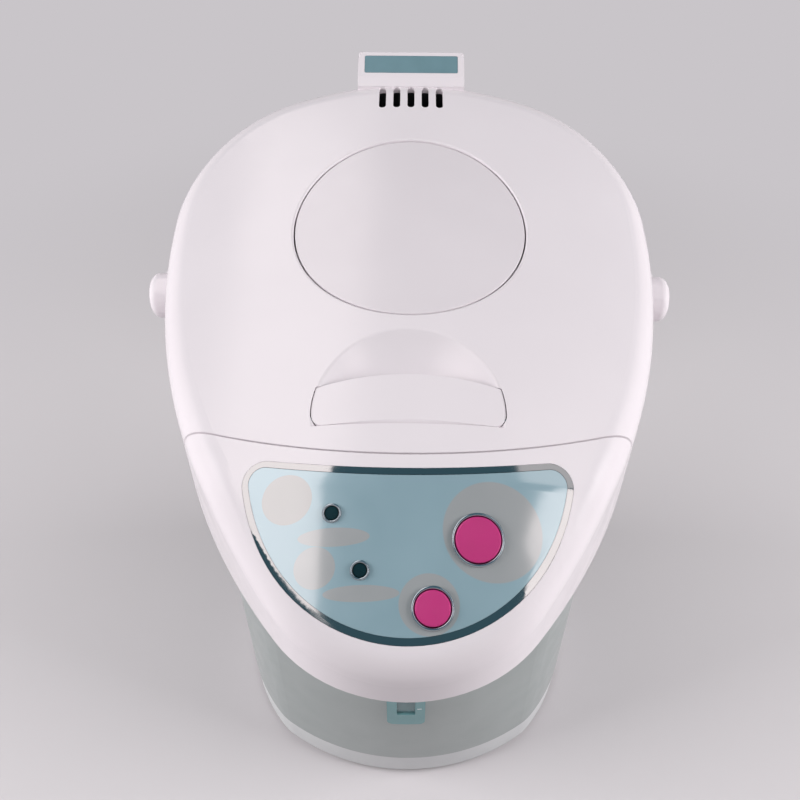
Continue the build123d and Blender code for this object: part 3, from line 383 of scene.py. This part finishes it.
finishOf = {  # the nodes that wear each finish
    "absPolishedWhite": "front_housing lid_shell latch_lever bail_handle spout_nozzle beak_cover",
    "absPolishedGrey": "press_plate",
    "polypropyleneMilky": "base_ring",
    "absSatinWhite": "lid_liner",
    "acetalNatural": "glide_ring",
    "absPolishedPink": "pump_button reheat_button",
    "acrylicSmoked": "indicator_lenses",
    "polycarbonateTeal": "gauge_frame",
    "polycarbonatePrinted": "label_plaque",
    "nylonGlassFilledGrey": "turntable base_cover pump_housing impeller",
    "nylonBlack": "inlet_socket steam_duct tact_switches power_parts",
    "rubberBlack": "foot_ring motor_mount",
    "siliconeMilky": "lid_gasket air_valve bellows outlet_hose riser_hose spout_elbow",
    "micaSheet": "keep_warm_band",
    "stainlessDrawn": "tank inner_lid",
    "steelZincPlated": "pivot_retainer pivot_screw base_screws beak_screws board_screws liner_screws"
                       " latch_catch hinge_pin handle_pins latch_pin bellows_spring tie_rods pump_motor"
                       " impeller_shaft",
    "aluminiumCast": "heater_plate thermostats",
    "brassRolled": "inlet_pins",
    "chromeSatin": "button_bezels indicator_bezels",
    "filmMirror": "panel_trim",
    "enamelStoved": "outer_shell",
    "polyesterScreenPrinted": "panel_plate",
    "acrylicTinted": "gauge_window",
    "glassBorosilicate": "riser_tube",
    "laminateSolderMasked": "control_board power_board",
}


def dressNodes():
    for finish, names in finishOf.items():
        for name in names.split():
            slots = nodes[name].data.materials
            slots.clear()
            slots.append(materialOf[finish])


dressNodes()
print("materials:", len(materialOf))

# ---- helpers for the detail pieces
fullTurn = 2 * math.pi
weld = 0.001 * mm


def meshObject(name, shape, material):
    mesh = bpy.data.meshes.new(name)
    shape.to_mesh(mesh)
    shape.free()
    mesh.materials.append(material)
    thing = bpy.data.objects.new(name, mesh)
    scene.collection.objects.link(thing)
    return thing


def pieceObject(name, shape, body, finish, *replaced):
    bmesh.ops.recalc_face_normals(shape, faces=shape.faces)
    piece = meshObject(name, shape, materialOf[finish])
    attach(piece, body)
    if replaced:
        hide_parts(*replaced)
    return piece


def smoothByAngle(piece, angle=35):  # edges sharper than the angle, in degrees, stay crisp
    for polygon in piece.data.polygons:
        polygon.use_smooth = True
    piece.data.set_sharp_from_angle(angle=math.radians(angle))


def roundEdges(piece, wide):
    rounding = piece.modifiers.new("edge", "BEVEL")
    rounding.width = wide * mm
    rounding.segments = 2
    rounding.limit_method = "ANGLE"


def newSince(shape, old):
    return [v for v in shape.verts if v not in old]


def vertsOf(geometry):
    return [g for g in geometry if isinstance(g, bmesh.types.BMVert)]


def moveBy(shape, verts, x, y, z):
    bmesh.ops.translate(shape, verts=verts, vec=Vector((x, y, z)) * mm)


def placeAt(shape, verts, spot, axis):  # turns the local z axis onto axis and moves the origin to spot
    up = Vector(axis).normalized()
    side = (Vector((1, 0, 0)) - up * up.x).normalized()
    turn = Matrix((side, up.cross(side), up)).transposed().to_4x4()
    bmesh.ops.transform(shape, matrix=Matrix.Translation(Vector(spot) * mm) @ turn, verts=verts)


def turnOutline(shape, outline, steps):  # spins a closed outline of radius and height round the z axis
    old = set(shape.verts)
    ring = [shape.verts.new((r * mm, 0, z * mm)) for r, z in outline]
    pairs = zip(ring, ring[1:] + ring[:1])
    edges = [shape.edges.new(pair) for pair in pairs if max(v.co.x for v in pair) > 0]  # none on the axis
    bmesh.ops.spin(
        shape, geom=ring + edges, cent=(0, 0, 0), axis=(0, 0, 1), angle=fullTurn, steps=steps, use_merge=True
    )
    bmesh.ops.remove_doubles(shape, verts=newSince(shape, old), dist=weld)
    return newSince(shape, old)


def addBox(shape, low, high):
    corners = bmesh.ops.create_cube(shape, size=1.0)["verts"]
    low, high = Vector(low) * mm, Vector(high) * mm
    bmesh.ops.scale(shape, verts=corners, vec=high - low)
    bmesh.ops.translate(shape, verts=corners, vec=(high + low) / 2)
    return corners


def addRoundedBox(shape, low, high, edge):
    edges = list({e for v in addBox(shape, low, high) for e in v.link_edges})
    bmesh.ops.bevel(
        shape, geom=edges, offset=edge * mm, affect="EDGES", segments=2, profile=0.5, material=-1
    )


# ---- bezels of the buttons and lamps
bezels = {
    # centre, axis, inner radius and width of each ring
    "buttonRings": [
        ((22.4, -119.3, 261.47), (0.0739, -0.5, 0.8629), 7.55, 1.05),
        ((8.0, -138.0, 251.5), (0.0275, -0.5, 0.8656), 5.85, 1.05),
    ],
    "lampRings": [
        ((-24.2, -112.2, 265.42), (-0.0786, -0.5, 0.8624), 2.28, 0.88),
        ((-14.8, -128.0, 256.98), (-0.0498, -0.5, 0.8646), 2.28, 0.88),
    ],
    "proud": 0.68, "lip": 0.2, "seat": 0.16, "sleeve": 3.4, "sleeveWall": 0.3, "arcSteps": 8, "steps": 64,
}


def makeRings(name, node):  # half-round flange on a thin sleeve
    lip, seat, sleeve = bezels["lip"], bezels["seat"], bezels["sleeve"]
    shape = bmesh.new()
    for spot, axis, inner, wide in bezels[name]:
        outline = [(inner, -sleeve), (inner, lip)]
        for step in range(bezels["arcSteps"] + 1):
            turn = math.pi * (1 - step / bezels["arcSteps"])
            out = inner + wide / 2 * (1 + math.cos(turn))
            outline.append((out, lip + (bezels["proud"] - lip) * math.sin(turn)))
        wall = inner + bezels["sleeveWall"]
        outline += [(inner + wide, seat), (wall, seat), (wall, -sleeve)]
        placeAt(shape, turnOutline(shape, outline, bezels["steps"]), spot, axis)
    for face in shape.faces:
        face.smooth = True
    pieceObject(name, shape, "pot", "chromeSatin", node)


makeRings("buttonRings", "button_bezels")
makeRings("lampRings", "indicator_bezels")
print("bezels made")

# ---- screws with a cross recess
screws = {
    # radii and heights: slot is half the width of an arm of the cross, arm its reach, deep its depth
    "pan": {"head": 3.0, "rise": 1.4, "shank": 1.5, "slot": 0.55, "arm": 1.9, "deep": 0.9},
    "pivot": {"head": 5.0, "rise": 2.5, "shank": 2.5, "slot": 0.9, "arm": 3.0, "deep": 1.5},
    "dome": [(1.0, 0.45), (0.93, 0.75), (0.8, 0.93), (0.68, 1.0)],  # shares of the head's radius and rise
    "pointWide": 0.3, "pointHigh": 0.5, "steps": 32, "nearby": 1e-7,
}


def crossTop(shape, old, size):  # the flat top's faces
    level = size["rise"] * mm
    near = screws["nearby"]
    return [f for f in shape.faces if all(v not in old and abs(v.co.z - level) < near for v in f.verts)]


def cutTop(shape, old, size):  # splits the flat top along the sides and ends of the cross
    for line in ((1, 0, 0), (0, 1, 0)):
        for cut in (-size["arm"], -size["slot"], size["slot"], size["arm"]):
            top = crossTop(shape, old, size)
            geom = top + list({e for f in top for e in f.edges}) + list({v for f in top for v in f.verts})
            bmesh.ops.bisect_plane(
                shape, geom=geom, plane_co=Vector(line) * cut * mm, plane_no=line, dist=screws["nearby"]
            )


def insideCross(face, size):
    x, y = (abs(c) / mm for c in face.calc_center_median()[:2])
    return max(x, y) < size["arm"] and min(x, y) < size["slot"]


def addScrew(shape, kind, spot, axis, length):  # the head's seat is at the spot, the axis points out of it
    size = screws[kind]
    old = set(shape.verts)
    shank, head, rise = size["shank"], size["head"], size["rise"]
    outline = [(0, -length), (shank - screws["pointWide"], -length), (shank, -length + screws["pointHigh"])]
    outline += [(shank, 0), (head, 0)] + [(head * out, rise * up) for out, up in screws["dome"]] + [(0, rise)]
    new = turnOutline(shape, outline, screws["steps"])
    bmesh.ops.recalc_face_normals(shape, faces=list({f for v in new for f in v.link_faces}))
    cutTop(shape, old, size)
    inside = [face for face in crossTop(shape, old, size) if insideCross(face, size)]
    sunk = bmesh.ops.extrude_face_region(shape, geom=inside)["geom"]
    bmesh.ops.delete(shape, geom=inside, context="FACES_ONLY")
    moveBy(shape, vertsOf(sunk), 0, 0, -size["deep"])
    placeAt(shape, newSince(shape, old), spot, axis)


def bothSides(x, y, z):
    return [(-x, y, z), (x, y, z)]


screwSets = {
    "baseScrewHeads": {
        "node": "base_screws", "body": "pot", "kind": "pan", "length": 8.5, "axis": (0, 0, -1),
        "spots": bothSides(56.57, 56.57, 9.5) + bothSides(56.57, -56.57, 9.5),
    },
    "beakScrewHeads": {
        "node": "beak_screws", "body": "pot", "kind": "pan", "length": 12.0, "axis": (0, 0, -1),
        "spots": bothSides(47.0, -106.0, 225.0),
    },
    "linerScrewHeads": {
        "node": "liner_screws", "body": "lid", "kind": "pan", "length": 9.9, "axis": (0, 0, -1),
        "spots": bothSides(74.0, 30.0, 260.2) + bothSides(62.0, -50.0, 260.2),
    },
    "boardScrewHeads": {
        "node": "board_screws", "body": "pot", "kind": "pan", "length": 6.6, "axis": (0, 0.5, -0.866),
        "spots": bothSides(33.0, -101.94, 256.74) + bothSides(33.0, -124.46, 243.74),
    },
    "pivotScrewHead": {
        "node": "pivot_screw", "body": "stand", "kind": "pivot", "length": 9.0, "axis": (0, 0, 1),
        "spots": [(0.0, 0.0, 12.5)],
    },
}


def makeScrews():
    for name, spec in screwSets.items():
        shape = bmesh.new()
        for spot in spec["spots"]:
            addScrew(shape, spec["kind"], spot, spec["axis"], spec["length"])
        smoothByAngle(pieceObject(name, shape, spec["body"], "steelZincPlated", spec["node"]))


makeScrews()
print("screws made:", len(screwSets), "sets")

# ---- lap seam down the back of the sheet steel body
seamStrip = {
    "radius": 94.0, "wide": 7.0, "thick": 0.35, "sink": 0.02, "low": 57.0, "high": 222.0,
    "steps": 6, "edge": 0.15,
}


def makeSeamStrip():
    low, high, inner, outer = (seamStrip[key] for key in ("low", "high", "sink", "thick"))
    half = math.asin(seamStrip["wide"] / 2 / seamStrip["radius"])
    shape = bmesh.new()
    corners = [(low, inner), (low, outer), (high, outer), (high, inner)]
    ring = [shape.verts.new((0, (seamStrip["radius"] + out) * mm, z * mm)) for z, out in corners]
    edges = [shape.edges.new(pair) for pair in zip(ring, ring[1:] + ring[:1])]
    bmesh.ops.rotate(shape, verts=ring, cent=(0, 0, 0), matrix=Matrix.Rotation(-half, 3, "Z"))
    bmesh.ops.contextual_create(shape, geom=edges)
    section = shape.faces[:] + shape.edges[:] + shape.verts[:]
    bmesh.ops.spin(
        shape, geom=section, cent=(0, 0, 0), axis=(0, 0, 1), angle=2 * half, steps=seamStrip["steps"]
    )
    bmesh.ops.remove_doubles(shape, verts=shape.verts, dist=weld)
    strip = pieceObject("seamStrip", shape, "pot", "enamelStoved")
    roundEdges(strip, seamStrip["edge"])
    smoothByAngle(strip)


makeSeamStrip()

# ---- blades of the mains inlet
inletPins = {
    "x": (-7.0, 0.0, 7.0), "wide": 2.0, "low": 39.5, "high": 43.5, "from": 75.0, "to": 92.0,
    "taper": 1.4, "tipWide": 0.45, "tipHigh": 0.7, "edge": 0.2,  # both tip sizes are shares of the blade's
}


def makeInletPins():  # blades with a tapered, rounded tip
    shape = bmesh.new()
    half, low, high = inletPins["wide"] / 2, inletPins["low"], inletPins["high"]
    for x in inletPins["x"]:
        corner = (x + half, inletPins["to"] - inletPins["taper"], high)
        blade = addBox(shape, (x - half, inletPins["from"], low), corner)
        end = max((f for v in blade for f in v.link_faces), key=lambda f: f.calc_center_median().y)
        tip = vertsOf(bmesh.ops.extrude_face_region(shape, geom=[end])["geom"])
        bmesh.ops.delete(shape, geom=[end], context="FACES_ONLY")
        moveBy(shape, tip, 0, inletPins["taper"], 0)
        middle = Vector((x, 0, (low + high) / 2)) * mm
        shrink = (inletPins["tipWide"], 1, inletPins["tipHigh"])
        bmesh.ops.scale(shape, verts=tip, vec=shrink, space=Matrix.Translation(-middle))
    pins = pieceObject("inletBlades", shape, "pot", "brassRolled", "inlet_pins")
    roundEdges(pins, inletPins["edge"])


makeInletPins()
print("seam and inlet blades made")

# ---- parts of the power board
relay = {"low": (-26, 28, 23.6), "high": (-8, 46, 38.6), "edge": 0.8}
terminals = {
    "low": (20, 32, 23.6), "high": (28, 44, 31.6), "edge": 0.5,
    "wells": 3, "first": 2, "pitch": 4, "top": 1.6, "bottom": 1.4, "deep": 0.8, "sink": 0.3, "segments": 20,
}
core = {"low": (0, 26, 23.6), "high": (15, 38, 35.6), "sheets": 8, "inset": 0.25, "fill": 0.98}
can = {
    "x": 6, "y": 47, "radius": 5.0, "low": 23.6, "high": 37.6, "steps": 40,
    "foot": 0.3, "groove": 1.8, "grooveHalf": 0.4, "shoulder": 0.5, "rim": 1.5, "sink": 0.3,
}


def makeRelayAndTerminals():
    shape = bmesh.new()
    addRoundedBox(shape, relay["low"], relay["high"], relay["edge"])
    addRoundedBox(shape, terminals["low"], terminals["high"], terminals["edge"])
    low, high = terminals["low"], terminals["high"]
    for count in range(terminals["wells"]):
        well = bmesh.ops.create_cone(
            shape, cap_ends=True, segments=terminals["segments"], radius1=terminals["bottom"] * mm,
            radius2=terminals["top"] * mm, depth=terminals["deep"] * mm,
        )["verts"]
        y = low[1] + terminals["first"] + terminals["pitch"] * count
        moveBy(shape, well, (low[0] + high[0]) / 2, y, high[2] - terminals["sink"])
    smoothByAngle(pieceObject("relayAndTerminals", shape, "pot", "nylonBlack", "power_parts"))


def makeTransformerCore():  # stacked sheets, every second one a little smaller
    shape = bmesh.new()
    low, high = core["low"], core["high"]
    thick = (high[0] - low[0]) / core["sheets"]
    for sheet in range(core["sheets"]):
        x = low[0] + thick * sheet
        inset = core["inset"] * (sheet % 2)
        corner = (x + thick * core["fill"], high[1] - inset, high[2] - inset)
        addBox(shape, (x, low[1] + inset, low[2]), corner)
    pieceObject("transformerCore", shape, "pot", "steelZincPlated")


def makeCapacitorCan():  # crimped groove under a sunk lid
    radius, low, high = can["radius"], can["low"], can["high"]
    groove, half, shoulder = high - can["groove"], can["grooveHalf"], can["shoulder"]
    outline = [(0, low), (radius - can["foot"], low), (radius, low + 2 * can["foot"])]
    outline += [(radius, groove - half), (radius - shoulder, groove), (radius, groove + half)]
    outline += [(radius, high - shoulder), (radius - shoulder, high)]
    outline += [(radius - can["rim"], high - can["sink"]), (0, high - can["sink"])]
    shape = bmesh.new()
    moveBy(shape, turnOutline(shape, outline, can["steps"]), can["x"], can["y"], 0)
    smoothByAngle(pieceObject("capacitorCan", shape, "pot", "aluminiumCast"))


makeRelayAndTerminals()
makeTransformerCore()
makeCapacitorCan()
print("power board parts made")

# ---- bellows and spring of the hand pump
pump = {
    "centre": 8.0, "low": 261.1, "high": 282.1, "radius": 34.0, "wall": 1.2, "hole": 14.5,
    "pleat": 4.0, "folds": 5, "points": 50, "steps": 72, "crease": 50,
    "coil": 11.0, "wire": 0.7, "turns": 6, "coilLow": 263.05, "coilHigh": 280.15,
    "wireSides": 10, "stepsPerTurn": 32, "wireCrease": 60,
    "keep": 0.28,  # share of the height that is left when squashed right down
}


def sagWithPress(piece):  # gives the piece a mesh of its own
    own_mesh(piece)


def pleats():  # radius and height down the outside of the wall
    for step in range(pump["points"] + 1):
        share = step / pump["points"]
        dip = (1 - math.cos(fullTurn * pump["folds"] * share)) / 2
        yield pump["radius"] - pump["pleat"] * dip, pump["low"] + share * (pump["high"] - pump["low"])


def makeBellows():  # rounded pleats in one wall thickness
    hole, wall, low, high = pump["hole"], pump["wall"], pump["low"], pump["high"]
    outer = list(pleats())
    inner = [(r - wall, z) for r, z in reversed(outer) if low + wall < z < high - wall]
    outline = [(hole, low)] + outer + [(0, high), (0, high - wall), (inner[0][0], high - wall)]
    outline += inner + [(inner[-1][0], low + wall), (hole, low + wall)]
    shape = bmesh.new()
    moveBy(shape, turnOutline(shape, outline, pump["steps"]), 0, pump["centre"], 0)
    bellows = pieceObject("pleatedBellows", shape, "lid", "siliconeMilky", "bellows")
    smoothByAngle(bellows, pump["crease"])
    sagWithPress(bellows)


def makeSpring():  # a circle of wire wound upwards, with both ends closed
    shape = bmesh.new()
    radius = pump["wire"] * mm
    wire = bmesh.ops.create_circle(
        shape, cap_ends=False, segments=pump["wireSides"], radius=radius
    )["verts"]
    bmesh.ops.rotate(shape, verts=wire, cent=(0, 0, 0), matrix=Matrix.Rotation(math.pi / 2, 3, "X"))
    moveBy(shape, wire, pump["coil"], 0, pump["coilLow"])
    edges = list({e for v in wire for e in v.link_edges})
    steps = pump["stepsPerTurn"] * pump["turns"]
    climb = (pump["coilHigh"] - pump["coilLow"]) / steps * mm
    ends = bmesh.ops.spin(
        shape, geom=wire + edges, cent=(0, 0, 0), axis=(0, 0, 1), dvec=(0, 0, climb),
        angle=fullTurn * pump["turns"], steps=steps,
    )["geom_last"]
    bmesh.ops.contextual_create(shape, geom=edges)
    bmesh.ops.contextual_create(shape, geom=[g for g in ends if isinstance(g, bmesh.types.BMEdge)])
    moveBy(shape, shape.verts, 0, pump["centre"], 0)
    spring = pieceObject("returnSpring", shape, "lid", "steelZincPlated", "bellows_spring")
    smoothByAngle(spring, pump["wireCrease"])
    sagWithPress(spring)


makeBellows()
makeSpring()
print("bellows and spring made")

# ---- camera
camera = {
    "spot": (0.0, -0.278, 0.476), "down": 44.0, "roll": 0.467,  # metres, degrees
    "focal": 832.0, "image": 800.0, "aside": 8.5,  # focal length and side shift in image pixels
    "sensor": 36.0,
}


def placeCamera():
    data = bpy.data.cameras.new("mainCamera")
    data.sensor_width = camera["sensor"]
    data.lens = camera["focal"] / camera["image"] * data.sensor_width
    data.shift_x = -camera["aside"] / camera["image"]
    eye = bpy.data.objects.new("mainCamera", data)
    tilt = Euler((math.radians(90 - camera["down"]), 0, 0)).to_matrix()
    turn = tilt @ Matrix.Rotation(math.radians(camera["roll"]), 3, "Z")
    eye.matrix_world = Matrix.Translation(camera["spot"]) @ turn.to_4x4()
    scene.collection.objects.link(eye)
    scene.camera = eye


placeCamera()

# ---- light, its sizes and places in metres
light = {
    "aim": (0.0, -0.05, 0.27),
    # azimuth from the front towards the right and elevation in degrees, width, height, distance, watts
    "softboxes": {
        "left": (-84, 20, 0.7, 0.4, 1.1, 12.0),
        "right": (84, 20, 0.7, 0.4, 1.1, 12.0),
        "near": (0, 62, 0.4, 0.3, 0.5, 0.5),  # close by, so that the light falls off towards the back
    },
    # white cards that only reflections show, with the same numbers
    "cards": {
        "wide": (-100, 62, 1.84, 0.58, 1.2, 6.8),
        "narrow": (54, 40, 0.28, 0.67, 1.2, 1.26),
        "dim": (97, 56, 0.74, 0.52, 1.2, 1.1),
    },
    "cardTint": (1.0, 0.91, 0.9),
    "world": 0.2, "background": "c9c5c9",
    "flag": "507685", "flagHeight": 1.75, "flagSize": 6.0,  # grey-blue ceiling that the mirror border shows
}


def placeLamp(name, spec):
    azimuth, elevation, width, height, distance, watts = spec
    data = bpy.data.lights.new(name, "AREA")
    data.shape = "RECTANGLE"
    data.size, data.size_y = width, height
    data.energy = watts
    lamp = bpy.data.objects.new(name, data)
    a, e = math.radians(azimuth), math.radians(elevation)
    away = Vector((math.sin(a) * math.cos(e), -math.cos(a) * math.cos(e), math.sin(e)))
    lamp.location = Vector(light["aim"]) + away * distance
    lamp.rotation_euler = away.to_track_quat("Z", "Y").to_euler()
    scene.collection.objects.link(lamp)
    return lamp


def placeLights():
    for name, spec in light["softboxes"].items():
        placeLamp(name + "Softbox", spec).visible_glossy = False
    for name, spec in light["cards"].items():
        card = placeLamp(name + "Card", spec)
        card.visible_diffuse = False
        card.data.color = light["cardTint"]


def stagePlane(name, size, height, material):
    grid = bmesh.new()
    bmesh.ops.create_grid(grid, x_segments=8, y_segments=8, size=size / 2)
    bmesh.ops.translate(grid, verts=grid.verts, vec=(0, 0, height))
    plane = meshObject(name, grid, material)
    return plane


def seenRays(tree):  # rays that see the backdrop: straight from the camera, reflected or through glass
    path = addNode(tree, "ShaderNodeLightPath").outputs
    bounced = maths(tree, "MAXIMUM", path["Is Glossy Ray"], path["Is Transmission Ray"])
    return maths(tree, "MAXIMUM", path["Is Camera Ray"], bounced)


def hangFlag():  # only reflections show it
    material = bpy.data.materials.new("clothGrey")
    tree = emptyTree(material)
    glow = addNode(tree, "ShaderNodeEmission", {"Color": light["flag"], "Strength": 1.0})
    addNode(tree, "ShaderNodeOutputMaterial", {"Surface": glow.outputs[0]})
    flag = stagePlane("flag", light["flagSize"], light["flagHeight"], material)
    flag.visible_camera = False
    flag.visible_diffuse = False
    flag.visible_shadow = False
    flag.visible_transmission = False


def makeWorld():
    world = bpy.data.worlds.new("studio")
    scene.world = world
    tree = emptyTree(world)
    lit = addNode(tree, "ShaderNodeBackground", {"Color": "ffffff", "Strength": light["world"]})
    seen = addNode(tree, "ShaderNodeBackground", {"Color": light["background"], "Strength": 1.0})
    shaders = {0: seenRays(tree), 1: lit.outputs[0], 2: seen.outputs[0]}
    both = addNode(tree, "ShaderNodeMixShader", shaders)
    addNode(tree, "ShaderNodeOutputWorld", {"Surface": both.outputs[0]})


placeLights()
hangFlag()
makeWorld()

# ---- floor
floor = {
    "size": 12.0, "paperTo": 0.24, "glowFrom": 0.75,  # metres; the paper fades out between these two radii
    "colour": "d2cdd0", "shade": "cfcacd", "patch": 400, "specular": 0.2,
    "rough": 0.6, "spread": (0.9, 1.1), "dullPatch": 50,
}


def makeFloor():  # matt paper sweep: it takes the pot's shadow and fades into the plain background
    material, tree, surface, place = startMaterial("paperMatt", {"Specular IOR Level": floor["specular"]})
    drift = clouds(tree, place, floor["patch"])
    colourWith(tree, surface, mixed(tree, drift, floor["colour"], floor["shade"]))
    dullPatches(tree, surface, place, floor)
    away = addNode(tree, "ShaderNodeVectorMath", {0: place}, operation="LENGTH").outputs["Value"]
    far = ranged(tree, away, floor["paperTo"], floor["glowFrom"], 0.0, 1.0, interpolation_type="SMOOTHSTEP")
    glow = addNode(tree, "ShaderNodeEmission", {"Color": light["background"], "Strength": 1.0})
    share = maths(tree, "MULTIPLY", far, seenRays(tree))
    shaders = {0: share, 1: surface.outputs["BSDF"], 2: glow.outputs[0]}
    both = addNode(tree, "ShaderNodeMixShader", shaders)
    output = next(n for n in tree.nodes if n.type == "OUTPUT_MATERIAL")
    tree.links.new(both.outputs[0], output.inputs["Surface"])
    stagePlane("floor", floor["size"], 0.0, material)


makeFloor()
print("camera, light and floor placed")

scene.view_settings.view_transform = "Standard"
